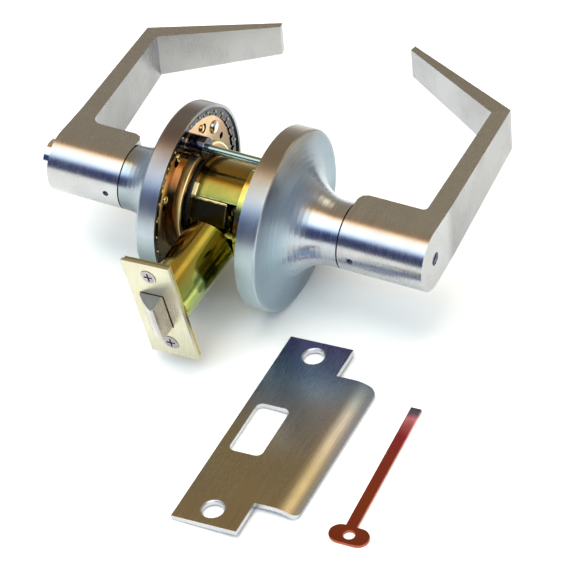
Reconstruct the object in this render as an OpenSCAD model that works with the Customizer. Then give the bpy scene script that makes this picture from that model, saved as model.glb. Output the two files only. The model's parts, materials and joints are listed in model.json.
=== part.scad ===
/* [Door and set] */
// Gap between the two roses: the door thickness that the lock is set to
door_gap = 41.2; // [35:0.1:45]
// Distance from the spindle axis to the front of the latch faceplate
backset = 71; // [60:0.5:75]

/* [Roses] */
// Outer diameter of both roses
rose_d = 87.3; // [84:0.1:92]
// Width of the straight rim band
rose_band_w = 9.75; // [6:0.25:12]
// Sheet thickness of the roses
rose_wall = 1.4; // [1:0.1:2]

/* [Levers] */
// Diameter of the round lever hub and of the rose neck
hub_d = 31.2; // [30:0.1:34]
// Distance from mid-door to the outside lever hub
outside_reach = 58.3; // [54:0.1:62]
// Distance from mid-door to the inside lever hub
inside_reach = 55.3; // [54:0.1:62]
// Distance from mid-door to the end face of the outside hub
outside_face = 100.3; // [98:0.1:104]
// Distance from mid-door to the end face of the inside hub
inside_face = 93; // [91:0.1:97]
// Distance from the spindle axis to the outer corner of a lever
lever_len = 94.2; // [88:0.1:100]
// Distance from the spindle axis to the tip of the returned end
lever_tip = 125.6; // [120:0.1:128]
// Half height of a lever at its corner
corner_half_h = 12; // [10:0.5:13]
// Half height of a lever at its tip
tip_half_h = 8.3; // [6:0.1:9]
// Rest angle of the outside lever above level, in degrees
outside_tilt = 2.8; // [0:0.1:4]
// How far the privacy button stands out of its hub
button_out = 7; // [6:0.1:10]

/* [Latch] */
// Diameter of the latch tube
tube_d = 25.4; // [24:0.1:26]
// Width of the latch faceplate
faceplate_w = 25.4; // [25:0.1:29]
// Height of the latch faceplate
faceplate_h = 57.15; // [55:0.05:60]
// How far the latch bolt stands out
bolt_throw = 9.5; // [8:0.5:10]
// Distance between the two faceplate screws
faceplate_screw_gap = 41.3; // [40:0.1:43]
// Droop of the loosely hooked latch, in degrees
latch_pitch = 5.9; // [0:0.1:6.5]
// Sideways swing of the loosely hooked latch, in degrees
latch_yaw = -2.7; // [-3:0.1:3]
// Twist of the loosely hooked latch about its own axis, in degrees
latch_twist = -7.6; // [-8:0.1:8]

/* [Strike plate] */
// Length of the strike plate
strike_l = 123.825; // [120:0.025:126]
// Width of the strike plate without its lip
strike_w = 31.75; // [30:0.05:33]
// Thickness of the strike plate
strike_t = 2.4; // [2:0.1:3]
// Distance between the two strike screw holes
strike_hole_gap = 104.8; // [103:0.1:106]
// Radius of the strike screw holes
strike_hole_r = 5; // [4.5:0.1:5.5]
// Length of the curved lip along the plate
lip_l = 86.5; // [80:0.5:90]

/* [Emergency key] */
// Length of the flat shank
key_l = 77; // [60:1:80]
// Width of the flat shank
key_w = 5.2; // [4:0.1:6]
// Thickness of the key
key_t = 1.3; // [1:0.1:2]

/* [Hidden] */
$fn = 96;
eps = 0.01;
run_fit = 0.05;
half_gap = door_gap / 2;
rose_r = rose_d / 2;
rose_face = half_gap + rose_band_w;
hub_r = hub_d / 2;
neck_gap = 0.7;

// where the lock axis and the loose pieces lie, with the middle of the laid-out set at the origin
set_mid = [13.921, -14.909];
lock_at = [-set_mid[0], -set_mid[1], rose_r];
strike_at = [57.65, -93.5];
strike_turn = 0.97;
strike_tilt = 3.85;
key_head_at = [117.6, -135.2];
key_head_shift = 1;
key_turn = 3.05;

// chassis
drum_r = 20.8;
drum_wall = 2;
drum_in = -15.3;
drum_out = 13;
hub_disc_t = 2;
spindle_r = 11.5;
spindle_bore_r = 9.5;
bearing_r = 13.6;
collar_r = 26.5;
collar_wall = 2.5;
collar_out = 10.8;
collar_in = 16.2;
plate_t = 1.8;
plate_r = 41.8;
inside_plate_x = half_gap + 1.6;
inside_plate_r = 37.6;
outside_plate_x = half_gap + 0.3;
bolt_gap = 60.4;
bolt_r = 1.9;
bolt_head_r = 4.4;
bolt_head_h = 3;
sleeve_r = 5;
sleeve_l = 9;
bolt_notch_gap = 0.2;
nut_r = 4.6;
nut_h = 3.6;
window_top = 14.2;
window_x = [-10, 10];
window_bottom = -12;

// retractor and cams
slide_half_x = 4.3;
slide_front = -14;
slide_back = 3.4;
slide_half_z = 8.6;
cam_x = 5.2;
cam_l = 4;
wire_r = 0.4;

// lever shape, u outward from mid-door and v back from the spindle axis
inside_corner = [inside_face + 2.9, lever_len - 1];
outside_corner = [outside_face - 2.2, lever_len];
inside_tip = [37.8, lever_tip];
outside_tip = [34.6, lever_tip];
corner_step = [-7.8, -4.7];
tip_step = [-0.7, -3.5];
arm_root_t = 9.6;
block_v = 13.5;
lever_bore_r = spindle_r + 0.1;
bore_floor = 8.5;
spindle_in_lever = 26;
button_r = 8.5;
button_flange_r = button_r + 0.7;
flange_t = 2;
inside_flange_end = inside_face - bore_floor - 0.3;
outside_flange_end = outside_face - bore_floor - 0.3;
turn_r = 3.2;
rod_r = 1.6;
catch_r = 1.4;
catch_from_gap = 6.3;

// latch, along its own axis
plate_front = -backset;
front_plate_t = 1.6;
back_plate_t = 1.8;
latch_slack = [-1.2, 0, -1.1];
tube_front = plate_front + front_plate_t + back_plate_t;
tube_back = -25;
tube_wall = 1.3;
bolt_side = 4.5;
bolt_bevel_side = -7.5;
bolt_half_h = 9.6;
bolt_gap_fit = 0.4;
bolt_neck_y = -56;
bolt_rear_y = -50;
tail_end_y = -10.5;
tail_half_h = 2.2;
hook_half_h = 4.2;
screw_r = 2.1;
screw_head_r = 3.9;

// strike lip
lip_flat_x = 24;
lip_bend_r = 17.9;
lip_bend_angle = 35.8;
lip_corner_r = 4;
latch_hole = [16.2, 32];
latch_hole_x = -2.5;

// ---- places ----
module at_lock() {
    translate(lock_at) children();
}

module at_latch() {
    at_lock() translate(latch_slack) rotate([0, 0, latch_yaw]) rotate([latch_pitch, 0, 0])
        rotate([0, latch_twist, 0]) children();
}

module mirror_side(inside) {
    mirror([inside ? 1 : 0, 0, 0]) children();
}

// ---- helpers ----
// a ring or rod about the X axis from x0 to x1
module rod_x(x0, x1, r) {
    translate([x0, 0, 0]) rotate([0, 90, 0]) cylinder(r = r, h = x1 - x0);
}

module tube_x(x0, x1, r_out, r_in) {
    difference() {
        rod_x(x0, x1, r_out);
        rod_x(x0 - 1, x1 + 1, r_in);
    }
}

// a body of revolution about X, from an outline of [x, r] points
module turned_x(outline) {
    rotate([0, 90, 0]) rotate_extrude()
        polygon([for (p = outline) [p[1], p[0]]]);
}

module both_bolts() {
    for (s = [-1, 1]) translate([0, 0, s * bolt_gap / 2]) children();
}

// a helical wire along +Z, as a tube swept with six sides
module coil(radius, length, turns, wire = wire_r) {
    sides = 6;
    steps = 10 * turns;
    points = [for (i = [0:steps], j = [0:sides - 1])
        let (a = 360 * turns * i / steps, b = 360 * j / sides, q = radius + wire * cos(b))
        [q * cos(a), q * sin(a), wire + (length - 2 * wire) * i / steps + wire * sin(b)]];
    walls = [for (i = [0:steps - 1], j = [0:sides - 1])
        let (k = (j + 1) % sides, p = i * sides, q = p + sides)
        each [[p + j, p + k, q + j], [p + k, q + k, q + j]]];
    first_cap = [for (j = [sides - 1:-1:0]) j];
    last_cap = [for (j = [0:sides - 1]) steps * sides + j];
    polyhedron(points = points, faces = concat([first_cap], walls, [last_cap]));
}

// ---- roses ----
function flare(a, b, xc, rc, steps = 14) =
    [for (i = [0:steps]) [xc - a * cos(90 * i / steps), rc - b * sin(90 * i / steps)]];

function reversed(list) = [for (i = [len(list) - 1:-1:0]) list[i]];

module rose_shell(reach) {
    neck_x = reach - neck_gap;
    edge = 1;
    rc = rose_r - 3;
    xc = rose_face + 22.5;
    outer = flare(xc - rose_face, rc - hub_r, xc, rc);
    inner = flare(xc - rose_face + rose_wall, rc - hub_r + rose_wall, xc, rc);
    turned_x(concat(
        [[half_gap, rose_r - rose_wall], [half_gap, rose_r], [rose_face - edge, rose_r],
         [rose_face - edge * 0.3, rose_r - edge * 0.3], [rose_face, rose_r - edge]],
        outer,
        [[neck_x, hub_r], [neck_x, hub_r - rose_wall]],
        reversed(inner),
        [[rose_face - rose_wall, rose_r - rose_wall]]));
}

module inside_rose() {
    color([0.78, 0.79, 0.8]) at_lock() mirror_side(true) rose_shell(inside_reach);
}

module outside_rose() {
    color([0.78, 0.79, 0.8]) at_lock() rose_shell(outside_reach);
}

module rose_retaining_ring() {
    teeth = 36;
    ring_x = -inside_plate_x;
    color([0.12, 0.12, 0.14]) at_lock() difference() {
        tube_x(ring_x - plate_t, ring_x + 0.7, rose_r - rose_wall - 0.15, inside_plate_r + 0.2);
        for (i = [0:teeth - 1]) rotate([i * 360 / teeth, 0, 0])
            translate([ring_x - 0.3, inside_plate_r - 1, -0.8]) cube([2, 2.6, 1.6]);
    }
}

// ---- mounting plates ----
module bolt_holes(x0, x1, r) {
    both_bolts() rod_x(x0, x1, r);
}

// holes of radius r on a circle of radius centre_r, at the given angles
module holes_round(x0, x1, centre_r, r, angles) {
    for (a = angles) rotate([a, 0, 0]) translate([0, centre_r, 0]) rod_x(x0, x1, r);
}

module inside_mounting_plate() {
    x = -inside_plate_x;
    color([0.83, 0.68, 0.42]) at_lock() difference() {
        union() {
            tube_x(x - plate_t, x, inside_plate_r, bearing_r + 0.3);
            tube_x(x - eps, -collar_in, collar_r, collar_r - collar_wall);
        }
        bolt_holes(x - plate_t - 1, x + 1, bolt_r + run_fit);
        // room for the sleeves beside the collar
        bolt_holes(x, -collar_in + 1, sleeve_r + bolt_notch_gap);
        holes_round(x - plate_t - 1, x + 1, 32, 1.7, [25, 155, 205, 245, 295, 335]);
        holes_round(x - plate_t - 1, x + 1, 32, 2.4, [65, 115]);
    }
}

module outside_mounting_plate() {
    x = outside_plate_x;
    color([0.83, 0.7, 0.35]) at_lock() difference() {
        union() {
            tube_x(x, x + plate_t, plate_r, bearing_r + 0.3);
            tube_x(collar_out, x + eps, collar_r, collar_r - collar_wall);
        }
        bolt_holes(x - 1, x + plate_t + 1, bolt_r + run_fit);
        // room for the nuts beside the collar
        bolt_holes(collar_out - 1, x, nut_r + bolt_notch_gap);
        holes_round(x - 1, x + plate_t + 1, 34, 3.2, [30, 150, 210, 330]);
    }
}

module through_bolts() {
    head_x = -inside_plate_x - plate_t;
    color([0.55, 0.62, 0.62]) at_lock() both_bolts() difference() {
        union() {
            rod_x(head_x - eps, outside_plate_x + plate_t + 2, bolt_r);
            rod_x(head_x - bolt_head_h, head_x, bolt_head_r);
        }
        translate([head_x - bolt_head_h - 1, -0.6, -3]) cube([2, 1.2, 6]);
        translate([head_x - bolt_head_h - 1, -3, -0.6]) cube([2, 6, 1.2]);
    }
}

module bolt_sleeves() {
    x = -inside_plate_x;
    color([0.2, 0.22, 0.22]) at_lock() both_bolts() tube_x(x, x + sleeve_l, sleeve_r, bolt_r + run_fit);
}

module bolt_nuts() {
    color([0.6, 0.6, 0.55]) at_lock() both_bolts() difference() {
        translate([outside_plate_x - nut_h, 0, 0]) rotate([0, 90, 0])
            cylinder(r = nut_r, h = nut_h, $fn = 6);
        rod_x(outside_plate_x - nut_h - 1, outside_plate_x + 1, bolt_r + run_fit);
    }
}

// ---- chassis ----
module chassis_drum() {
    window_w = window_x[1] - window_x[0];
    color([0.72, 0.6, 0.2]) at_lock() difference() {
        tube_x(drum_in, drum_out, drum_r, drum_r - drum_wall);
        translate([window_x[0], -drum_r - 5, window_bottom])
            cube([window_w, 14, window_top - window_bottom]);
        for (s = [-1, 1]) translate([-5, 12, s * 10 - 1.5]) cube([10, 12, 3]);
    }
}

// closing disc of the drum at distance end, with the bearing tube that carries on from it
module chassis_hub(end, reach) {
    bore_r = spindle_r + run_fit;
    difference() {
        union() {
            rod_x(end, end + hub_disc_t, drum_r);
            rod_x(end, reach - neck_gap, bearing_r);
        }
        rod_x(end - 1, reach, bore_r);
    }
}

module inside_hub() {
    color([0.75, 0.72, 0.6]) at_lock() mirror_side(true) chassis_hub(-drum_in, inside_reach);
}

module outside_hub() {
    color([0.75, 0.72, 0.6]) at_lock() chassis_hub(drum_out, outside_reach);
}

// torsion spring lying round the bearing tube inside a rose
module return_spring(start) {
    turns = 4;
    pitch = 2.2;
    for (i = [0:turns - 1]) translate([start + i * pitch, 0, 0]) rotate([0, 90, 0])
        rotate_extrude() translate([bearing_r + 1.6, 0]) circle(r = 1, $fn = 24);
}

module inside_return_spring() {
    color([0.5, 0.5, 0.52]) at_lock() mirror_side(true) return_spring(inside_plate_x + plate_t + 4);
}

module outside_return_spring() {
    color([0.5, 0.5, 0.52]) at_lock() return_spring(outside_plate_x + plate_t + 4);
}

// ---- retractor ----
module retractor_slide() {
    slot_w = 10.4;
    color([0.6, 0.6, 0.58]) at_lock() difference() {
        translate([-slide_half_x, slide_front, -slide_half_z])
            cube([2 * slide_half_x, slide_back - slide_front, 2 * slide_half_z]);
        // mouth and pocket that the latch tail hooks into
        translate([-slide_half_x - 1, slide_front - 1, -slot_w / 2])
            cube([2 * slide_half_x + 2, 5, slot_w]);
        translate([-slide_half_x - 1, slide_front + 2, -6.8])
            cube([2 * slide_half_x + 2, 6, 13.6]);
        for (s = [-1, 1]) translate([0, slide_back + eps, s * 5.6]) rotate([90, 0, 0])
            cylinder(r = 2.6, h = 3);
    }
}

module retractor_springs() {
    color([0.55, 0.55, 0.57]) at_lock() for (s = [-1, 1])
        translate([0, slide_back - 2.4, s * 5.6]) rotate([-90, 0, 0]) coil(1.7, 14, 6);
}

// ---- latch ----
module bolt_opening(y0, y1, clear) {
    translate([bolt_bevel_side - clear, y0, -bolt_half_h - clear])
        cube([bolt_side - bolt_bevel_side + 2 * clear, y1 - y0, 2 * (bolt_half_h + clear)]);
}

module screw_places() {
    for (s = [-1, 1]) translate([0, 0, s * faceplate_screw_gap / 2]) children();
}

module face_blank(y, t, w, h) {
    translate([-w / 2, y, -h / 2]) cube([w, t, h]);
}

module latch_faceplate() {
    color([0.85, 0.82, 0.7]) at_latch() difference() {
        face_blank(plate_front, front_plate_t, faceplate_w, faceplate_h);
        bolt_opening(plate_front - 1, plate_front + 4, bolt_gap_fit);
        screw_places() translate([0, plate_front - eps, 0]) rotate([-90, 0, 0]) {
            cylinder(r = screw_r + 0.15, h = 4);
            cylinder(r1 = screw_head_r + 0.15, r2 = screw_r + 0.15, h = 1.4);
        }
    }
}

module latch_backplate() {
    y = plate_front + front_plate_t;
    color([0.7, 0.66, 0.5]) at_latch() difference() {
        face_blank(y, back_plate_t, faceplate_w - 1.2, faceplate_h - 1.2);
        bolt_opening(y - 1, y + 4, bolt_gap_fit);
        screw_places() translate([0, y - 1, 0]) rotate([-90, 0, 0]) cylinder(r = screw_r + 0.1, h = 5);
    }
}

module faceplate_screws() {
    color([0.8, 0.8, 0.82]) at_latch() screw_places() difference() {
        translate([0, plate_front - 0.2, 0]) rotate([-90, 0, 0]) {
            cylinder(r1 = screw_head_r - 0.1, r2 = screw_r, h = 1.6);
            cylinder(r = screw_r, h = front_plate_t + back_plate_t + 0.2);
        }
        translate([-0.5, plate_front - 0.6, -2.4]) cube([1, 1.6, 4.8]);
        translate([-2.4, plate_front - 0.6, -0.5]) cube([4.8, 1.6, 1]);
    }
}

module latch_tube() {
    length = tube_back - tube_front;
    color([0.7, 0.65, 0.15]) at_latch() difference() {
        translate([0, tube_front, 0]) rotate([-90, 0, 0]) cylinder(d = tube_d, h = length);
        translate([0, tube_front - 1, 0]) rotate([-90, 0, 0])
            cylinder(r = tube_d / 2 - tube_wall, h = length + 2);
        bolt_opening(tube_front - 1, bolt_neck_y + bolt_throw + 1, bolt_gap_fit);
    }
}

module latch_end_cap() {
    cap_t = 2;
    color([0.45, 0.42, 0.3]) at_latch() difference() {
        translate([0, tube_back - cap_t - 0.5, 0]) rotate([-90, 0, 0])
            cylinder(r = tube_d / 2 - tube_wall - 0.02, h = cap_t);
        translate([-1.3, tube_back - 5, -tail_half_h - 0.5]) cube([2.6, 6, 2 * tail_half_h + 1]);
    }
}

// bevelled head seen from above: flat side towards +X, curved bevel towards -X
function bevel_points(tip, root, steps = 10) =
    [for (i = [0:steps]) let (t = i / steps)
        [bolt_side - 1 - (bolt_side - 1 - bolt_bevel_side) * t, tip + (root - tip) * pow(t, 1.3)]];

module latch_bolt() {
    tip = plate_front - bolt_throw;
    root = plate_front - 1.4;
    color([0.75, 0.74, 0.72]) at_latch() difference() {
        union() {
            translate([0, 0, -bolt_half_h]) linear_extrude(height = 2 * bolt_half_h)
                polygon(concat([[bolt_side, bolt_neck_y], [bolt_side, tip + 0.4]],
                               bevel_points(tip, root), [[bolt_bevel_side, bolt_neck_y]]));
            translate([bolt_bevel_side + 0.8, bolt_neck_y - eps, -8])
                cube([bolt_side - bolt_bevel_side - 1.6, bolt_rear_y - bolt_neck_y, 16]);
        }
        translate([-0.9, bolt_rear_y - 4.2, -tail_half_h - 0.1]) cube([1.8, 5, 2 * tail_half_h + 0.2]);
    }
}

module latch_tail() {
    color([0.6, 0.6, 0.6]) at_latch() {
        translate([-0.8, bolt_rear_y - 4, -tail_half_h])
            cube([1.6, tail_end_y - bolt_rear_y + 4 + eps, 2 * tail_half_h]);
        translate([-0.8, tail_end_y, -hook_half_h]) cube([1.6, 2, 2 * hook_half_h]);
    }
}

module latch_spring() {
    color([0.55, 0.55, 0.57]) at_latch() translate([0, bolt_rear_y + 0.5, 0]) rotate([-90, 0, 0])
        coil(7.4, tube_back - 3 - bolt_rear_y - 0.5, 7, 0.6);
}

// ---- levers ----
// side outline tapering from the round hub to a half height h at distance v
module tapered_side(v, h) {
    // angle of the line that touches the hub circle and passes through [v, h]
    dist = sqrt(v * v + h * h);
    a = acos(hub_r / dist) + atan2(h, v);
    foot = [hub_r * cos(a), hub_r * sin(a)];
    polygon([[0, foot[1]], foot, [v, h], [v, -h], [foot[0], -foot[1]], [0, -foot[1]]]);
}

// a side outline standing in the v-z plane, from u0 to u1
module side_solid(u0, u1) {
    translate([u0, 0, 0]) rotate([90, 0, 90]) linear_extrude(height = u1 - u0) children();
}

module lever_arm(face, corner, fillet) {
    inner = corner + corner_step;
    root = face - arm_root_t;
    intersection() {
        translate([0, 0, -hub_d]) linear_extrude(height = 2 * hub_d)
            polygon(concat([[face, 0], [face, 20], corner, inner],
                [for (a = [0:15:90]) [root - fillet * (1 - cos(a)), block_v + fillet * (1 - sin(a))]],
                [[root - fillet, 0]]));
        side_solid(0, face + 10) tapered_side(lever_len, corner_half_h);
    }
}

module lever_return(corner, tip) {
    along = tip - corner;
    length = norm(along);
    angle = atan2(along[1], along[0]);
    inner = corner + corner_step;
    over = 2.5;
    behind = 12;
    behind_half_h = corner_half_h + behind * (corner_half_h - tip_half_h) / length;
    intersection() {
        translate([0, 0, -hub_d]) linear_extrude(height = 2 * hub_d)
            polygon([corner, tip, tip + tip_step, inner, inner + [over, -over]]);
        translate(corner) rotate([0, 0, angle]) rotate([90, 0, 0])
            translate([0, 0, -20]) linear_extrude(height = 40)
            polygon([[-behind, behind_half_h], [length, tip_half_h], [length, -tip_half_h],
                     [-behind, -behind_half_h]]);
    }
}

module lever_hub(reach, face) {
    rod_x(reach, face, hub_r);
    intersection() {
        side_solid(reach, face - 2) tapered_side(lever_len, corner_half_h);
        translate([0, 0, -hub_d]) linear_extrude(height = 2 * hub_d)
            polygon([[reach, 0], [reach, block_v - 4], [reach + 1.2, block_v - 1.2], [reach + 4, block_v],
                     [face - 2, block_v], [face - 2, 0]]);
    }
}

module lever(reach, face, corner, tip, fillet, end_bore_r) {
    difference() {
        union() {
            lever_hub(reach, face);
            lever_arm(face, corner, fillet);
            lever_return(corner, tip);
        }
        rod_x(reach - 1, face - bore_floor, lever_bore_r);
        rod_x(face - bore_floor - 1, face + 1, end_bore_r);
        translate([reach + catch_from_gap, 0, 0]) rotate([90, 0, 0])
            cylinder(r = catch_r + 0.1, h = hub_d);
    }
}

module inside_lever() {
    color([0.75, 0.74, 0.72]) at_lock() mirror_side(true)
        lever(inside_reach, inside_face, inside_corner, inside_tip, 5, button_r + run_fit);
}

module outside_lever() {
    color([0.75, 0.74, 0.72]) at_lock() rotate([outside_tilt, 0, 0])
        lever(outside_reach, outside_face, outside_corner, outside_tip, 2, turn_r + run_fit);
}

module spindle(reach) {
    difference() {
        union() {
            tube_x(cam_x + cam_l, reach + spindle_in_lever, spindle_r, spindle_bore_r);
            // cam: the half of the tube that reaches inward past the retractor
            difference() {
                tube_x(cam_x, cam_x + cam_l + eps, spindle_r, spindle_bore_r);
                translate([cam_x - 1, -20, -40]) cube([cam_l + 1, 40, 44]);
            }
        }
        translate([reach + catch_from_gap, 0, 0]) rotate([90, 0, 0])
            cylinder(r = catch_r + 0.2, h = hub_d);
    }
}

module inside_spindle() {
    color([0.6, 0.6, 0.6]) at_lock() mirror_side(true) spindle(inside_reach);
}

module outside_spindle() {
    color([0.6, 0.6, 0.6]) at_lock() rotate([outside_tilt, 0, 0]) spindle(outside_reach);
}

module catch_pin(reach) {
    translate([reach + catch_from_gap, -10.4, 0]) rotate([90, 0, 0])
        cylinder(r = catch_r + 0.1 - run_fit, h = hub_r - 1 - 10.4);
}

module inside_catch() {
    color([0.25, 0.25, 0.27]) at_lock() mirror_side(true) catch_pin(inside_reach);
}

module outside_catch() {
    color([0.25, 0.25, 0.27]) at_lock() rotate([outside_tilt, 0, 0]) catch_pin(outside_reach);
}

// ---- privacy button and emergency release ----
module privacy_button() {
    end = inside_face + button_out;
    color([0.7, 0.7, 0.7]) at_lock() mirror_side(true) difference() {
        union() {
            rod_x(inside_flange_end - eps, end - 0.8, button_r);
            turned_x([[end - 0.8, 0], [end - 0.8, button_r], [end, button_r - 0.8], [end, 0]]);
            rod_x(inside_flange_end - flange_t, inside_flange_end, button_flange_r);
        }
        rod_x(inside_flange_end - flange_t - 1, inside_flange_end + 2, rod_r + 0.02);
    }
}

module button_rod() {
    color([0.65, 0.65, 0.65]) at_lock() mirror_side(true) {
        rod_x(8, inside_flange_end + 1.5, rod_r);
        rod_x(12, 15, 4);
    }
}

module button_spring() {
    length = 16;
    color([0.55, 0.55, 0.57]) at_lock() mirror_side(true)
        translate([inside_flange_end - flange_t - length, 0, 0]) rotate([0, 90, 0]) coil(4.5, length, 5);
}

module emergency_turn() {
    slot = [1.4, 5];
    color([0.6, 0.6, 0.62]) at_lock() difference() {
        union() {
            rod_x(outside_flange_end - eps, outside_face - 0.3, turn_r);
            rod_x(outside_flange_end - flange_t, outside_flange_end, turn_r + 3);
        }
        rotate([40, 0, 0]) translate([outside_face - 4, -slot[1] / 2, -slot[0] / 2])
            cube([6, slot[1], slot[0]]);
        rod_x(outside_flange_end - flange_t - 1, outside_flange_end + 2, rod_r + 0.02);
    }
}

module emergency_bar() {
    color([0.65, 0.65, 0.65]) at_lock() {
        rod_x(8, outside_flange_end + 1.5, rod_r);
        intersection() {
            rod_x(12, 15, 5);
            translate([11, -5, -1.5]) cube([5, 10, 3]);
        }
    }
}

// ---- strike plate ----
// plate profile across its width: flat, then the lip bending down
module lip_profile() {
    steps = 12;
    cx = lip_flat_x;
    cz = -lip_bend_r;
    outer = [for (i = [0:steps]) let (a = 90 - lip_bend_angle * i / steps)
        [cx + (lip_bend_r + strike_t) * cos(a), cz + (lip_bend_r + strike_t) * sin(a)]];
    inner = [for (i = [steps:-1:0]) let (a = 90 - lip_bend_angle * i / steps)
        [cx + lip_bend_r * cos(a), cz + lip_bend_r * sin(a)]];
    polygon(concat([[0, 0], [0, strike_t]], outer, inner));
}

module rounded_outline(w, h, r) {
    for (x = [r, w - r], y = [-h / 2 + r, h / 2 - r]) translate([x, y]) circle(r = r, $fn = 48);
    translate([r, -h / 2]) square([w - 2 * r, h]);
    translate([0, -h / 2 + r]) square([w, h - 2 * r]);
}

module strike_blank() {
    translate([-strike_w / 2, -strike_l / 2, 0]) cube([strike_w, strike_l, strike_t]);
    intersection() {
        rotate([90, 0, 0]) translate([0, 0, -lip_l / 2]) linear_extrude(height = lip_l) lip_profile();
        translate([-20, 0, -20]) linear_extrude(height = 40)
            rounded_outline(20 + lip_flat_x + (lip_bend_r + strike_t) * sin(lip_bend_angle),
                            lip_l, lip_corner_r);
    }
}

module strike_plate() {
    chamfer = 0.6;
    color([0.55, 0.58, 0.62]) at_lock() translate([strike_at[0], strike_at[1], -rose_r])
        rotate([0, 0, strike_turn]) translate([0, 0, strike_w / 2 * sin(strike_tilt)])
        rotate([0, -strike_tilt, 0]) difference() {
            strike_blank();
            for (s = [-1, 1]) translate([0, s * strike_hole_gap / 2, -1]) {
                cylinder(r = strike_hole_r, h = strike_t + 2);
                translate([0, 0, strike_t + 1 - chamfer])
                    cylinder(r1 = strike_hole_r, r2 = strike_hole_r + chamfer + eps, h = chamfer + eps);
            }
            translate([latch_hole_x - latch_hole[0] / 2, 0, -1]) linear_extrude(height = strike_t + 2)
                rounded_outline(latch_hole[0], latch_hole[1], 3);
        }
}

// ---- emergency key ----
module emergency_key() {
    head_w = 18.5;
    head_h = 10.5;
    color([0.6, 0.3, 0.25]) at_lock() translate([key_head_at[0], key_head_at[1], -rose_r])
        rotate([0, 0, key_turn]) difference() {
            linear_extrude(height = key_t) {
                translate([key_head_shift, 0]) {
                    for (s = [-1, 1]) translate([s * (head_w - head_h) / 2, 0]) circle(d = head_h);
                    translate([-(head_w - head_h) / 2, -head_h / 2]) square([head_w - head_h, head_h]);
                }
                translate([-key_w / 2, 0]) square([key_w, key_l + 6]);
            }
            translate([key_head_shift, 0, -1]) cylinder(r = 2.6, h = key_t + 2);
        }
}

chassis_drum();
inside_hub();
outside_hub();
inside_mounting_plate();
outside_mounting_plate();
rose_retaining_ring();
inside_rose();
outside_rose();
through_bolts();
bolt_sleeves();
bolt_nuts();
inside_return_spring();
outside_return_spring();
retractor_slide();
retractor_springs();
latch_tube();
latch_end_cap();
latch_backplate();
latch_faceplate();
faceplate_screws();
latch_bolt();
latch_tail();
latch_spring();
inside_lever();
inside_spindle();
inside_catch();
outside_lever();
outside_spindle();
outside_catch();
privacy_button();
button_rod();
button_spring();
emergency_turn();
emergency_bar();
strike_plate();
emergency_key();
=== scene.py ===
"""Looks for a privacy lever lockset laid out as a set: lock, latch, strike plate and emergency key."""

import json
import math

import bmesh
import bpy
from mathutils import Matrix, Vector


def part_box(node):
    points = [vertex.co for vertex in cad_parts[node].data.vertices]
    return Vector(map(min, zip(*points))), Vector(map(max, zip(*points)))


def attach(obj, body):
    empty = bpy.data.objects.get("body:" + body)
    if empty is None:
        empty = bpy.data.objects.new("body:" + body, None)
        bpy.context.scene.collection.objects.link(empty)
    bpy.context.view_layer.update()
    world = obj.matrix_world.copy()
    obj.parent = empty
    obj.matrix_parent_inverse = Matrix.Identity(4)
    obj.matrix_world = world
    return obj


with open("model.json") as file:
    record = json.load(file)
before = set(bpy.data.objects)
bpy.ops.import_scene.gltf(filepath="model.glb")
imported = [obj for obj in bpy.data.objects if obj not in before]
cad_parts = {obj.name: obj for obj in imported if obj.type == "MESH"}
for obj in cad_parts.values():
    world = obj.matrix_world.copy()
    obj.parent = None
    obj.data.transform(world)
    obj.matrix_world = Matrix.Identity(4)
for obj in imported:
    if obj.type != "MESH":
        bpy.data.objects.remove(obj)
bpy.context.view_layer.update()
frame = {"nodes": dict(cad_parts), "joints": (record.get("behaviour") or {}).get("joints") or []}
nodes = frame["nodes"]
MM = 0.001

# ---- where things are, from the frame ----
rose_lo, rose_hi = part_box("outside_rose")
inner_lo, inner_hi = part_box("inside_rose")
plate_lo, plate_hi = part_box("inside_mounting_plate")
AXIS = Vector(((rose_lo.x + inner_hi.x) / 2, (rose_lo.y + rose_hi.y) / 2, (rose_lo.z + rose_hi.z) / 2))
ROSE_R = (rose_hi.z - rose_lo.z) / 2
LATCH_DIR = Vector(next(j["axis"] for j in frame["joints"] if j["name"] == "latch_bolt_slide"))


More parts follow.
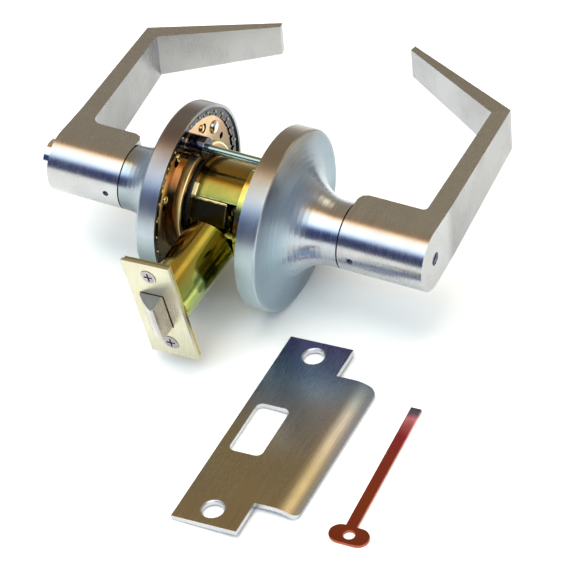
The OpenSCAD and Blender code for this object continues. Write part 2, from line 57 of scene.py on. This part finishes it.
# ---- node helpers ----
class Tree:
    """A node tree being built: each method adds a node and returns the socket to carry on from."""

    def __init__(self, tree):
        self.tree = tree
        tree.nodes.clear()

    def add(self, kind, settings=None, **inputs):
        """Makes a node. An input is named (with _ for a space) or is i and its number."""
        made = self.tree.nodes.new(kind)
        for key, value in (settings or {}).items():
            setattr(made, key, value)
        for key, value in inputs.items():
            numbered = key[0] == "i" and key[1:].isdigit()
            self.feed(made.inputs[int(key[1:]) if numbered else key.replace("_", " ")], value)
        return made

    def feed(self, socket, value):
        """Links a socket to another one, or gives it a plain value."""
        if isinstance(value, bpy.types.NodeSocket):
            self.tree.links.new(value, socket)
        else:
            socket.default_value = value

    def place(self):
        return self.add("ShaderNodeTexCoord").outputs["Object"]

    def normal(self):
        return self.add("ShaderNodeNewGeometry").outputs["Normal"]

    def parts(self, vector):
        return self.add("ShaderNodeSeparateXYZ", Vector=vector).outputs

    def math(self, operation, a, b=0.0):
        return self.add("ShaderNodeMath", {"operation": operation}, i0=a, i1=b).outputs[0]

    def vector(self, operation, a, b=(0, 0, 0)):
        made = self.add("ShaderNodeVectorMath", {"operation": operation}, i0=a, i1=b)
        return made.outputs["Value" if operation in ("LENGTH", "DOT_PRODUCT") else "Vector"]

    def scaled(self, vector, factor):
        made = self.add("ShaderNodeVectorMath", {"operation": "SCALE"}, i0=vector, Scale=factor)
        return made.outputs["Vector"]

    def noise(self, vector, scale, detail=2.0, w=None):
        extra = {} if w is None else {"W": w}
        return self.add("ShaderNodeTexNoise", {"noise_dimensions": "4D" if extra else "3D"},
                        Vector=vector, Scale=scale, Detail=detail, **extra).outputs["Fac"]

    def ramp(self, factor, stops):
        """A colour ramp from (position, colour) stops."""
        made = self.add("ShaderNodeValToRGB", Fac=factor)
        elements = made.color_ramp.elements
        while len(elements) > 1:
            elements.remove(elements[-1])
        elements[0].position = stops[0][0]
        elements[0].color = (*stops[0][1], 1)
        for position, colour in stops[1:]:
            elements.new(position).color = (*colour, 1)
        return made.outputs["Color"]

    def range(self, value, low, high, to_low=0.0, to_high=1.0):
        return self.add("ShaderNodeMapRange", i0=value, i1=low, i2=high, i3=to_low, i4=to_high).outputs[0]

    def mix(self, factor, a, b, blend="MIX"):
        return self.add("ShaderNodeMix", {"data_type": "RGBA", "blend_type": blend},
                        i0=factor, i6=a, i7=b).outputs[2]

    def tinted(self, base, tint):
        return self.mix(1.0, base, tint, "MULTIPLY")


def rgb(*colour):
    return (*colour, 1.0)


# ---- brushing ----
ACROSS_BRUSH = 1800   # noise cells per metre across the brushing
ALONG_BRUSH = 60      # noise cells per metre along straight brushing
ROUND_BRUSH = 2.2     # noise cells in one radius of a turn of round brushing


def grooves_round(tree):
    """Brushing that runs round the lock's axis: (noise vector, its fourth coordinate, groove direction)."""
    x, y, z = tree.parts(tree.vector("SUBTRACT", tree.place(), AXIS))
    flat = tree.add("ShaderNodeCombineXYZ", Y=y, Z=z).outputs[0]
    radial = tree.vector("NORMALIZE", flat)
    sideways = tree.add("ShaderNodeCombineXYZ", X=tree.math("MULTIPLY", x, ACROSS_BRUSH)).outputs[0]
    return (tree.vector("ADD", tree.scaled(radial, ROUND_BRUSH), sideways),
            tree.math("MULTIPLY", tree.vector("LENGTH", flat), ACROSS_BRUSH),
            tree.vector("CROSS_PRODUCT", (1, 0, 0), radial))


def grooves_straight(direction):
    """The same for brushing that runs straight along direction."""
    turn = Vector((1, 0, 0)).rotation_difference(Vector(direction)).inverted().to_euler()

    def grooves(tree):
        lined_up = tree.add("ShaderNodeVectorRotate", {"rotation_type": "EULER_XYZ"},
                            Vector=tree.place(), Rotation=turn).outputs[0]
        vector = tree.vector("MULTIPLY", lined_up, (ALONG_BRUSH, ACROSS_BRUSH, ACROSS_BRUSH))
        return vector, None, direction
    return grooves


# ---- colour and roughness that change from place to place; most colour tints here are painted shade, reflections and highlights ----
def from_axis(tree, low, high):
    """0 to 1 between two distances from the lock's axis, given in rose radii."""
    place = tree.vector("SUBTRACT", tree.place(), AXIS)
    distance = tree.vector("LENGTH", tree.vector("MULTIPLY", place, (0, 1, 1)))
    return tree.range(distance, low * ROSE_R, high * ROSE_R)


def rose_rough(tree):
    """The wide faces of the roses are brushed more coarsely than their necks."""
    return tree.math("MULTIPLY", from_axis(tree, 0.4, 0.75), 0.12)


def along_node(tree, name, axis):
    """0 at the low end of a node's box to 1 at its high end, wavering a little."""
    lo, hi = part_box(name)
    place = tree.place()
    waver = tree.range(tree.noise(place, 45, 3.0), 0, 1, -6 * MM, 6 * MM)
    return tree.range(tree.math("ADD", tree.parts(place)[axis], waver), lo[axis], hi[axis])


def strike_painted_reflection(tree, base):
    """Painted reflection: on the plate's upward faces, a slate blue tint at the back and a brown one towards
    the front.
    """
    tints = tree.ramp(along_node(tree, "strike_plate", 1), [
        (0.0, (0.80, 0.66, 0.40)), (0.35, (0.76, 0.66, 0.44)), (0.55, (0.80, 0.74, 0.66)),
        (0.68, (0.72, 0.72, 0.74)), (0.76, (0.56, 0.68, 0.76)), (0.86, (0.36, 0.46, 0.60)),
        (0.95, (0.30, 0.31, 0.52)), (1.0, (0.28, 0.24, 0.46))])
    # the painted reflection goes only on faces that look up
    facing_up = tree.range(tree.parts(tree.normal())[2], 0.75, 0.93)
    return tree.mix(facing_up, base, tree.tinted(base, tints))


def lever_painted_shade(tree, base):
    """Painted shade: past the blocks, the flat sides of the arms and the faces that look to the front are
    darkened, as if they took less light than the rounded blocks.
    """
    block_end, arm_start = 14, 20
    normal = tree.parts(tree.normal())
    place = tree.place()
    past_block = tree.range(tree.parts(place)[1], AXIS.y + block_end * MM, AXIS.y + arm_start * MM)
    across = tree.math("MULTIPLY", past_block, tree.range(tree.math("ABSOLUTE", normal[0]), 0.75, 0.95))
    under = tree.math("MULTIPLY", past_block, tree.range(normal[1], -0.75, -0.9))
    streaks = tree.range(tree.noise(place, 40), 0.35, 0.65, 0.9, 1.1)
    # the painted shade colour, a little streaky
    arm_painted_shade = tree.scaled(tree.mix(under, rgb(0.66, 0.65, 0.65), rgb(0.80, 0.80, 0.85)), streaks)
    return tree.mix(tree.math("MAXIMUM", across, under), base, tree.tinted(base, arm_painted_shade))


def outer_rose_painted_reflection(tree, base):
    """Painted reflection: the rim of the outside rose is tinted brown along its top and blue grey below, and
    its flare is tinted darker and cooler.
    """
    tints = tree.ramp(along_node(tree, "outside_rose", 2), [
        (0.0, (0.9, 0.98, 1.0)), (0.5, (0.84, 1.0, 1.02)), (0.82, (0.86, 0.92, 0.95)),
        (0.93, (0.68, 0.6, 0.5)), (1.0, (0.66, 0.56, 0.44))])
    # the painted reflection laid on the rim and the outer part of the flare
    rim_painted_reflection = tree.mix(from_axis(tree, 0.4, 0.6), base, tree.tinted(base, tints))
    flare = tree.math("MULTIPLY", from_axis(tree, 0.45, 0.6), from_axis(tree, 0.99, 0.95))
    return tree.mix(flare, rim_painted_reflection, tree.tinted(rim_painted_reflection, rgb(0.72, 0.76, 0.80)))


def shaded(node, axis, stops):
    """A tint that changes along a node's box, by (position, colour) stops."""
    def tint(tree, base):
        return tree.tinted(base, tree.ramp(along_node(tree, node, axis), stops))
    return tint


# painted reflection: the passivated tube is tinted from orange brown on one side to yellow green on the
# other, and the tint brightens it in places as painted highlight
tube_painted_reflection = shaded("latch_tube", 0, [
    (0.0, (1.15, 0.72, 0.6)), (0.35, (1.2, 0.95, 0.8)), (0.6, (1.1, 1.1, 0.9)), (0.8, (0.95, 1.3, 1.2)),
    (1.0, (0.7, 1.1, 1.6))])
# painted shade: the drum is darkened all over, with a painted brown reflection on top and olive in front
drum_painted_shade = shaded("chassis_drum", 2, [
    (0.0, (0.4, 0.45, 0.4)), (0.55, (0.5, 0.6, 0.5)), (0.72, (0.45, 0.6, 0.5)), (0.86, (0.5, 0.5, 0.42)),
    (1.0, (0.62, 0.45, 0.38))])
# painted shade: the inside mounting plate is darkened lower down, nearly black at the bottom, and kept bright
# at the top
plate_painted_shade = shaded("inside_mounting_plate", 2, [
    (0.0, (0.12, 0.12, 0.1)), (0.55, (0.2, 0.19, 0.13)), (0.75, (0.5, 0.42, 0.3)), (0.85, (1.0, 0.92, 0.85)),
    (1.0, (1.0, 0.95, 0.9))])
# painted shade: the inside rose is darkened low down, and tinted brown along its top as a painted reflection
inner_rose_painted_shade = shaded("inside_rose", 2, [
    (0.0, (0.12, 0.15, 0.15)), (0.3, (0.14, 0.18, 0.18)), (0.45, (0.35, 0.42, 0.42)),
    (0.6, (0.85, 0.94, 0.96)), (0.82, (0.78, 0.80, 0.82)), (1.0, (0.45, 0.36, 0.32))])


def key_colour_and_painted_highlight(tree, _):
    """Copper plating with a painted pink highlight in a band near the tip, going dark at its very end."""
    return tree.ramp(along_node(tree, "emergency_key", 1), [
        (0.0, (0.42, 0.09, 0.05)), (0.3, (0.50, 0.11, 0.05)), (0.6, (0.52, 0.10, 0.08)),
        (0.78, (0.62, 0.08, 0.12)), (0.9, (0.95, 0.35, 0.42)), (0.93, (0.6, 0.2, 0.25)),
        (0.95, (0.22, 0.16, 0.18)), (1.0, (0.2, 0.17, 0.18))])


# ---- materials ----
EDGE_WEAR_AND_GLINT_R = 0.7     # how far the edge wear and the painted glints laid on it reach in from an edge, mm
GROOVE_DEPTH = 0.004  # depth of the brushing at bump 1, mm


def metal(name, colour, second, rough, grooves=None, anisotropy=0.0, streak=0.12, bump=1.0, blotch_scale=60,
          blotches=(0.35, 0.65), edge_wear_and_glint_amount=0.25, edge_wear_and_glint_colour=None, coat=0.0, patches=None, rougher=None, tint=None):
    """A metal with brushing, blotches of a second colour, and edges brightened to a third, as rubbing on most
    metals and as painted glints on some.

    patches is a colour and a scale for broader patches, rougher(tree) gives roughness to add, and
    tint(tree, base) changes the colour from place to place; the tints given below mostly paint shade,
    reflections and highlights into it."""
    material = bpy.data.materials.new(name)
    material.use_nodes = True
    tree = Tree(material.node_tree)
    place, normal = tree.place(), tree.normal()
    shader = tree.add("ShaderNodeBsdfPrincipled", Metallic=1.0)
    if grooves:
        vector, w, along = grooves(tree)
        lines = tree.math("ADD", tree.math("MULTIPLY", tree.noise(vector, 1.0, 3.0, w), 0.6),
                          tree.math("MULTIPLY", tree.noise(vector, 0.22, 2.0, w), 0.4))
        in_world = tree.add("ShaderNodeVectorTransform", {
            "vector_type": "VECTOR", "convert_from": "OBJECT", "convert_to": "WORLD"}, Vector=along)
        tree.feed(shader.inputs["Tangent"], tree.vector("CROSS_PRODUCT", in_world.outputs[0], normal))
        shader.inputs["Anisotropic"].default_value = anisotropy
    else:
        lines = tree.noise(place, 2500)
    blotch = tree.range(tree.noise(place, blotch_scale, 4.0), *blotches)
    base = tree.mix(blotch, rgb(*colour), rgb(*second))
    if patches:
        patch_colour, patch_scale = patches
        elsewhere = tree.vector("ADD", place, (3, 1, 2))
        patch = tree.range(tree.noise(elsewhere, patch_scale), 0.45, 0.62)
        base = tree.mix(patch, base, rgb(*patch_colour))
    if tint:
        base = tint(tree, base)
    shade = tree.range(lines, 0.3, 0.7, 1 - streak, 1.0)
    grey = tree.add("ShaderNodeCombineColor", Red=shade, Green=shade, Blue=shade).outputs[0]
    base = tree.tinted(base, grey)
    # edges brightened along a bevel mask: wear on most metals, painted glints and highlights where a bright
    # edge colour is given
    rounded = tree.add("ShaderNodeBevel", {"samples": 4}, Radius=EDGE_WEAR_AND_GLINT_R * MM).outputs["Normal"]
    edge = tree.range(tree.vector("DOT_PRODUCT", rounded, normal), 0.995, 0.93)
    edge = tree.math("MULTIPLY", edge, tree.range(tree.noise(place, 400, 3.0), 0.35, 0.65))
    base = tree.mix(tree.math("MULTIPLY", edge, edge_wear_and_glint_amount), base,
                    rgb(*(edge_wear_and_glint_colour or [min(1, c * 1.25 + 0.05) for c in colour])))
    roughness = tree.math("ADD", tree.range(lines, 0.25, 0.75, rough - 0.06, rough + 0.06),
                          tree.range(blotch, 0, 1, -0.02, 0.03))
    if rougher:
        roughness = tree.math("ADD", roughness, rougher(tree))
    tree.feed(shader.inputs["Base Color"], base)
    tree.feed(shader.inputs["Roughness"], roughness)
    bumped = tree.add("ShaderNodeBump", Strength=1.0, Distance=bump * GROOVE_DEPTH * MM, Height=lines)
    tree.feed(shader.inputs["Normal"], bumped.outputs[0])
    if coat:
        shader.inputs["Coat Weight"].default_value = coat
        shader.inputs["Coat Roughness"].default_value = 0.08
    tree.add("ShaderNodeOutputMaterial", Surface=shader.outputs[0])
    return material


def chrome(name, tint):
    """The satin chrome of the roses, brushed round the axis."""
    return metal(name, (0.53, 0.56, 0.60), (0.49, 0.51, 0.55), 0.24, grooves_round, anisotropy=0.5,
                 streak=0.09, bump=0.7, edge_wear_and_glint_amount=0.35, rougher=rose_rough, tint=tint)


def passivated(name, colour, second, rough=0.13, blotch_scale=110, edge_wear_and_glint_amount=0.3, edge_wear_and_glint_colour=(0.9, 0.85, 0.4), **more):
    """Zinc with a yellow chromate film, under a thin clear gloss."""
    return metal(name, colour, second, rough, streak=0.06, bump=0.4, blotch_scale=blotch_scale,
                 blotches=(0.4, 0.6), edge_wear_and_glint_amount=edge_wear_and_glint_amount, edge_wear_and_glint_colour=edge_wear_and_glint_colour, coat=0.3, **more)


chrome_round = chrome("satin_chrome_round", outer_rose_painted_reflection)
chrome_inner = chrome("satin_chrome_inner", inner_rose_painted_shade)
chrome_lever = metal("satin_chrome_lever", (0.54, 0.55, 0.56), (0.49, 0.49, 0.50), 0.25, grooves_round,
                     anisotropy=0.45, streak=0.06, bump=0.25, edge_wear_and_glint_amount=0.4, tint=lever_painted_shade)
dichromate = passivated("yellow_dichromate", (0.56, 0.47, 0.10), (0.40, 0.40, 0.08),
                        patches=((0.48, 0.34, 0.09), 60))
drum_metal = passivated("drum_dichromate", (0.56, 0.47, 0.10), (0.42, 0.40, 0.08), 0.16, edge_wear_and_glint_amount=0.5,
                        tint=drum_painted_shade)
tube_metal = passivated("tube_dichromate", (0.58, 0.44, 0.09), (0.46, 0.40, 0.08), blotch_scale=70,
                        tint=tube_painted_reflection)
pale_dichromate = passivated("pale_dichromate", (0.66, 0.50, 0.26), (0.66, 0.40, 0.24), 0.16, blotch_scale=90,
                             edge_wear_and_glint_colour=(0.9, 0.85, 0.6), tint=plate_painted_shade)
collar_gold = metal("pale_gold_zinc", (0.95, 0.86, 0.55), (0.85, 0.72, 0.38), 0.3, grooves_round,
                    anisotropy=0.5, streak=0.1, bump=0.4)
steel = metal("plain_steel", (0.55, 0.54, 0.50), (0.45, 0.42, 0.36), 0.28, streak=0.1, bump=0.8)
# the bright edge colour paints glints along the edges of the black parts, the retaining ring's teeth among
# them, besides rubbed edges
black_zinc = metal("black_zinc", (0.06, 0.06, 0.10), (0.04, 0.05, 0.07), 0.14, streak=0.1, bump=0.5,
                   edge_wear_and_glint_amount=0.8, edge_wear_and_glint_colour=(0.7, 0.68, 0.5))
teal_zinc = metal("blue_zinc_steel", (0.30, 0.42, 0.40), (0.36, 0.45, 0.38), 0.2, streak=0.1, bump=0.5)
spring_steel = metal("spring_steel", (0.42, 0.42, 0.42), (0.3, 0.29, 0.27), 0.25)
# the brown edge colour on the faceplate is partly rubbing and partly a painted reflection of the warm room
# along its top edge
nickel = metal("brushed_nickel", (0.68, 0.66, 0.51), (0.63, 0.60, 0.44), 0.3, grooves_straight((0, 0, 1)),
               anisotropy=0.3, bump=0.8, blotch_scale=70, edge_wear_and_glint_amount=0.6, edge_wear_and_glint_colour=(0.5, 0.36, 0.22))
bright_chrome = metal("bright_chrome", (0.78, 0.78, 0.80), (0.72, 0.72, 0.74), 0.08, streak=0.03, bump=0.2)
# painted shade: the screws are darkened for the dark their recesses reflect, and their bright edge colour
# paints highlights
dark_chrome = metal("dark_chrome", (0.30, 0.27, 0.30), (0.42, 0.38, 0.40), 0.12, streak=0.1, bump=0.6,
                    blotch_scale=300, edge_wear_and_glint_amount=0.8, edge_wear_and_glint_colour=(0.8, 0.8, 0.75))
turn_metal = metal("blued_steel", (0.05, 0.06, 0.16), (0.10, 0.10, 0.22), 0.2, streak=0.1, bump=0.4,
                   blotch_scale=300)
bolt_metal = metal("bolt_sintered_metal", (0.56, 0.52, 0.50), (0.44, 0.40, 0.40), 0.16,
                   grooves_straight(LATCH_DIR), anisotropy=0.3, bump=0.5, blotch_scale=90)
strike_steel = metal("strike_steel", (0.62, 0.62, 0.64), (0.56, 0.55, 0.57), 0.27,
                     grooves_straight((0, 1, 0)), anisotropy=0.3, streak=0.06, bump=0.35, blotch_scale=40,
                     tint=strike_painted_reflection)
copper = metal("copper_key", (0.52, 0.16, 0.10), (0.42, 0.13, 0.14), 0.16, streak=0.08, bump=0.4,
               blotch_scale=90, edge_wear_and_glint_amount=0.4, edge_wear_and_glint_colour=(0.85, 0.5, 0.38), tint=key_colour_and_painted_highlight)
brass_bright = metal("bright_brass", (0.95, 0.80, 0.40), (0.9, 0.7, 0.3), 0.12)
# the bright yellow edge colour paints highlights along the edges of the retractor cage, besides wear
cage_metal = metal("olive_cage", (0.16, 0.12, 0.05), (0.10, 0.09, 0.03), 0.16, streak=0.08, bump=0.4,
                   blotch_scale=120, edge_wear_and_glint_amount=1.0, edge_wear_and_glint_colour=(0.95, 0.85, 0.45))

LOOKS = {
    "chassis_drum": drum_metal, "inside_hub": steel, "outside_hub": steel,
    "inside_mounting_plate": pale_dichromate, "outside_mounting_plate": dichromate,
    "rose_retaining_ring": black_zinc, "inside_rose": chrome_inner, "outside_rose": chrome_round,
    "through_bolts": teal_zinc, "bolt_sleeves": black_zinc, "bolt_nuts": teal_zinc,
    "inside_return_spring": spring_steel, "outside_return_spring": spring_steel,
    "retractor_slide": dichromate, "retractor_springs": spring_steel, "latch_tube": tube_metal,
    "latch_end_cap": dichromate, "latch_backplate": dichromate, "latch_faceplate": nickel,
    "faceplate_screws": dark_chrome, "latch_bolt": bolt_metal, "latch_tail": steel,
    "latch_spring": spring_steel, "inside_lever": chrome_lever, "outside_lever": chrome_lever,
    "inside_spindle": steel, "outside_spindle": steel, "inside_catch": black_zinc,
    "outside_catch": black_zinc, "privacy_button": bright_chrome, "button_rod": steel,
    "button_spring": spring_steel, "emergency_turn": turn_metal, "emergency_bar": steel,
    "strike_plate": strike_steel, "emergency_key": copper,
}
for name, material in LOOKS.items():
    nodes[name].data.materials.clear()
    nodes[name].data.materials.append(material)


# ---- rounded edges on the CAD nodes ----
def add_bevel(piece, width, segments=2):
    bevel = piece.modifiers.new("bevel", "BEVEL")
    bevel.width = width * MM
    bevel.segments = segments
    return bevel


def soften(name, width, segments=2):
    """Rounds a CAD node's sharp edges by width millimetres."""
    node = nodes[name]
    node.modifiers.new("weld", "WELD").merge_threshold = 0.002 * MM
    flat = node.modifiers.new("flat", "DECIMATE")
    flat.decimate_type = "DISSOLVE"
    flat.angle_limit = math.radians(0.4)
    bevel = add_bevel(node, width, segments)
    bevel.limit_method = "ANGLE"
    bevel.angle_limit = math.radians(30)
    bevel.use_clamp_overlap = True
    node.modifiers.new("normals", "WEIGHTED_NORMAL")


soften("inside_lever", 1.1, segments=3)
soften("outside_lever", 1.1, segments=3)
soften("strike_plate", 0.35)
soften("latch_faceplate", 0.2)
soften("latch_bolt", 0.4)
soften("emergency_key", 0.15)


# ---- small details that ride the lock case ----
def at(x, y, z):
    """A point in millimetres from the middle of the lock's axis."""
    return AXIS + Vector((x, y, z)) * MM


def round_place(x, radius, angle):
    """A point on a circle round the axis, by its angle in radians from straight up towards the front."""
    return at(x, -radius * math.sin(angle), radius * math.cos(angle))


def add_piece(name, mesh, material, smooth):
    piece = bpy.data.objects.new(name, mesh)
    bpy.context.scene.collection.objects.link(piece)
    mesh.materials.append(material)
    for face in mesh.polygons:
        face.use_smooth = smooth
    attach(piece, "lock_case")
    return piece


def turned(name, outline, centre, axis, material, steps=40):
    """A body of revolution: outline is (along axis, radius) pairs in millimetres."""
    made = bmesh.new()
    turn = Vector((0, 0, 1)).rotation_difference(Vector(axis)).to_matrix()
    rings = []
    for along, radius in outline:
        angles = [2 * math.pi * i / steps for i in range(steps)] if radius > 0 else [0]
        points = [Vector((radius * math.cos(a), radius * math.sin(a), along)) for a in angles]
        rings.append([made.verts.new(centre + turn @ point * MM) for point in points])
    for lower, upper in zip(rings, rings[1:]):
        for i in range(steps):
            corners = list(dict.fromkeys([lower[i % len(lower)], lower[(i + 1) % len(lower)],
                                          upper[(i + 1) % len(upper)], upper[i % len(upper)]]))
            if len(corners) > 2:
                made.faces.new(corners)
    bmesh.ops.recalc_face_normals(made, faces=made.faces)
    mesh = bpy.data.meshes.new(name)
    made.to_mesh(mesh)
    made.free()
    add_piece(name, mesh, material, smooth=True)


def dome(radius, height, steps=6):
    """Outline of a domed head on a short straight rim."""
    rim = 0.3
    arc = [math.pi / 2 * i / steps for i in range(steps)]
    crown = [(rim + (height - rim) * math.sin(a), radius * math.cos(a)) for a in arc]
    return [(0, radius)] + crown + [(height, 0)]


def drum_block(name, size, angle, radius, x, material, rounding=0.25):
    """A box with rounded edges lying on the drum, size in millimetres, angle in degrees from straight up."""
    centre = round_place(x, radius, math.radians(angle))
    turn = Matrix.Rotation(math.radians(angle), 3, "X")
    made = bmesh.new()
    bmesh.ops.create_cube(made, size=1.0)
    for vertex in made.verts:
        vertex.co = centre + turn @ Vector([c * s * MM for c, s in zip(vertex.co, size)])
    mesh = bpy.data.meshes.new(name)
    made.to_mesh(mesh)
    made.free()
    add_bevel(add_piece(name, mesh, material, smooth=False), rounding)


X_AXIS = (1, 0, 0)
COLLAR_MOUTH_X = (plate_hi.x - AXIS.x) / MM
PLATE_FACE_X = COLLAR_MOUTH_X - 6.0

# the domed screw and the rivets on the inside mounting plate
RIVETS = [(11.5, 30.5), (-11.5, 30.2), (-27, 17), (-27, -17), (27, -17)]
turned("plate_screw", dome(3.3, 1.6), at(PLATE_FACE_X, 23.1, 22.8), X_AXIS, bright_chrome)
for index, (y, z) in enumerate(RIVETS):
    turned(f"plate_rivet_{index}", dome(1.9, 1.1), at(PLATE_FACE_X, y, z), X_AXIS, brass_bright)

# painted highlight: a pale gold band laid round the inside collar to brighten it, with a rolled lip at its
# mouth
COLLAR_R, BAND_T, BAND_LEN, LIP_R, LIP_STEPS = 26.5, 0.25, 4.2, 0.7, 8
lip = [math.pi * i / LIP_STEPS for i in range(LIP_STEPS + 1)]
turned("collar_highlight_band", [(-BAND_LEN, COLLAR_R), (-BAND_LEN, COLLAR_R + BAND_T), (-LIP_R, COLLAR_R + BAND_T)]
       + [(-LIP_R + LIP_R * math.sin(a), COLLAR_R + BAND_T - LIP_R + LIP_R * math.cos(a)) for a in lip],
       at(COLLAR_MOUTH_X + 0.1, 0, 0), X_AXIS, collar_gold, steps=96)

# painted glints: bright brass points round the retaining ring, where its teeth bite the rose
RING_POINTS, RING_POINTS_R, FIRST_POINT = 30, 39.9, 5
for index in range(RING_POINTS):
    angle = math.radians(360 / RING_POINTS * index + FIRST_POINT)
    turned(f"ring_glint_point_{index}", dome(0.6, 0.7, 3),
           at(PLATE_FACE_X + 0.75, RING_POINTS_R * math.cos(angle), RING_POINTS_R * math.sin(angle)),
           X_AXIS, brass_bright, steps=10)

# the retractor cage's front plate, over the top of the drum window, with bright strips along its top and one
# side edge as painted highlights, an ear and a clip
CAGE_X, CAGE_W, EDGE_R = -5.4, 18.6, 21.3
drum_block("cage_plate", (CAGE_W, 10.6, 0.8), 64, 20.9, CAGE_X, cage_metal)
drum_block("cage_top_edge_highlight", (CAGE_W, 0.6, 1.0), 49, EDGE_R, CAGE_X, brass_bright)
drum_block("cage_side_edge_highlight", (0.6, 10.0, 1.0), 63, EDGE_R, 4.0, brass_bright)
drum_block("cage_ear", (2.6, 6.5, 1.2), 40, EDGE_R, -13.6, collar_gold, rounding=0.4)
drum_block("cage_clip", (5.0, 4.0, 2.2), 84, 20.6, 1.8, cage_metal, rounding=0.5)

# painted shade: a dark blued disc stands for the spanner hole low on the flare of the outside rose, whose
# profile is a quarter of an ellipse
FLARE_A, FLARE_B, FLARE_MID_X, FLARE_MID_R, HOLE_R = 22.5, 25.05, 52.85, 40.65, 1.6
around, down = math.radians(62), math.radians(153)
radial = Vector((0, -math.sin(down), math.cos(down)))
outward = Vector((math.cos(around) / FLARE_A, 0, 0)) + radial * (math.sin(around) / FLARE_B)
turned("flare_hole_shade_disc", [(-0.6, HOLE_R), (0.12, HOLE_R), (0.12, 0)],
       round_place(FLARE_MID_X - FLARE_A * math.cos(around), FLARE_MID_R - FLARE_B * math.sin(around), down),
       outward, turn_metal, steps=24)

# ---- floor ----
FLOOR_HALF = 6.0
floor_mesh = bpy.data.meshes.new("floor")
corners = [(x * FLOOR_HALF, y * FLOOR_HALF, 0) for x, y in ((-1, -1), (1, -1), (1, 1), (-1, 1))]
floor_mesh.from_pydata(corners, [], [(0, 1, 2, 3)])
floor = bpy.data.objects.new("floor", floor_mesh)
bpy.context.scene.collection.objects.link(floor)
floor_material = bpy.data.materials.new("floor_paper")
floor_material.use_nodes = True
tree = Tree(floor_material.node_tree)
grain = tree.noise(tree.place(), 6.0, 3.0)
paper = tree.add("ShaderNodeBsdfPrincipled", Roughness=0.8, Specular_IOR_Level=0.1,
                 Base_Color=tree.mix(grain, rgb(0.86, 0.90, 0.89), rgb(0.88, 0.915, 0.91)))
tree.add("ShaderNodeOutputMaterial", Surface=paper.outputs[0])
floor_mesh.materials.append(floor_material)


# ---- light ----
def area_light(name, place, size, power):
    """A square lamp aimed at the middle of the set, which doesn't show in reflections."""
    data = bpy.data.lights.new(name, "AREA")
    data.shape = "SQUARE"
    data.size = size
    data.energy = power
    light = bpy.data.objects.new(name, data)
    light.location = place
    light.rotation_euler = (-Vector(place)).to_track_quat("-Z", "Y").to_euler()
    light.visible_glossy = False
    bpy.context.scene.collection.objects.link(light)


area_light("overhead", (-0.5, 0.3, 1.9), 2.0, 36)
area_light("front_fill", (0.3, -1.6, 1.6), 1.2, 10)

# the room as it shows in the polished metal, by degrees from straight up towards the front: a dim warm
# ceiling behind, a bright panel overhead towards the front, and a dark room low in front
PALE_GREY = (0.85, 0.9, 0.9)
ROOM = [(-180, PALE_GREY), (-92, PALE_GREY), (-88, (0.66, 0.62, 0.57)), (-62, (0.38, 0.33, 0.25)),
        (-45, (0.38, 0.31, 0.21)), (-15, (0.43, 0.32, 0.2)), (-5, (0.40, 0.22, 0.12)), (0, (1.6, 0.9, 0.38)),
        (6, (2.4, 1.9, 1.2)), (12, (2.2, 2.2, 2.0)), (36, (2.2, 2.35, 2.4)), (46, (1.25, 1.6, 2.1)),
        (53, (0.3, 0.42, 0.8)), (59, (0.04, 0.055, 0.19)), (87, (0.05, 0.065, 0.16)), (92, (0.8, 0.86, 0.86)),
        (180, PALE_GREY)]
SIDE_WALLS, WARM_LAMP, COOL_LAMP = rgb(0.42, 0.47, 0.56), rgb(2.3, 2.0, 1.4), rgb(0.55, 0.62, 0.74)
world = bpy.data.worlds.new("studio")
bpy.context.scene.world = world
world.use_nodes = True
tree = Tree(world.node_tree)
x, y, z = tree.parts(tree.add("ShaderNodeTexCoord").outputs["Generated"])
turn = tree.math("ARCTAN2", tree.math("MULTIPLY", y, -1.0), z)
room = tree.ramp(tree.range(turn, -math.pi, math.pi), [(0.5 + degrees / 360, c) for degrees, c in ROOM])
sideways = tree.range(tree.math("ABSOLUTE", x), 0.5, 0.9)
room = tree.mix(tree.math("MULTIPLY", sideways, tree.range(z, -0.02, 0.02)), room, SIDE_WALLS)
# a warm lamp panel behind the set, and a cool one to the right of it
behind = tree.math("MULTIPLY", tree.range(y, 0.4, 0.62), tree.range(z, 0.45, 0.66))
lamp = tree.math("MULTIPLY", tree.range(x, -0.16, 0.02), tree.range(x, 0.3, 0.16))
room = tree.mix(tree.math("MULTIPLY", behind, lamp), room, WARM_LAMP)
room = tree.mix(tree.math("MULTIPLY", behind, tree.range(x, 0.28, 0.45)), room, COOL_LAMP)
tree.add("ShaderNodeOutputWorld", Surface=tree.add("ShaderNodeBackground", Color=room).outputs[0])

# ---- camera ----
AZIMUTH, ELEVATION, ROLL = math.radians(28.94), math.radians(41.32), math.radians(-4.41)
CAMERA_PLACE = AXIS + Vector((0.53727, -0.92949, 0.89035))
camera_data = bpy.data.cameras.new("camera")
camera_data.lens = 187.65
camera_data.sensor_width = 36
camera = bpy.data.objects.new("camera", camera_data)
towards_camera = Vector((math.sin(AZIMUTH) * math.cos(ELEVATION), -math.cos(AZIMUTH) * math.cos(ELEVATION),
                         math.sin(ELEVATION)))
level = towards_camera.to_track_quat("Z", "Y").to_matrix()
camera.location = CAMERA_PLACE
camera.rotation_euler = (level @ Matrix.Rotation(ROLL, 3, "Z")).to_euler()
bpy.context.scene.collection.objects.link(camera)
bpy.context.scene.camera = camera
bpy.context.scene.view_settings.view_transform = "Standard"
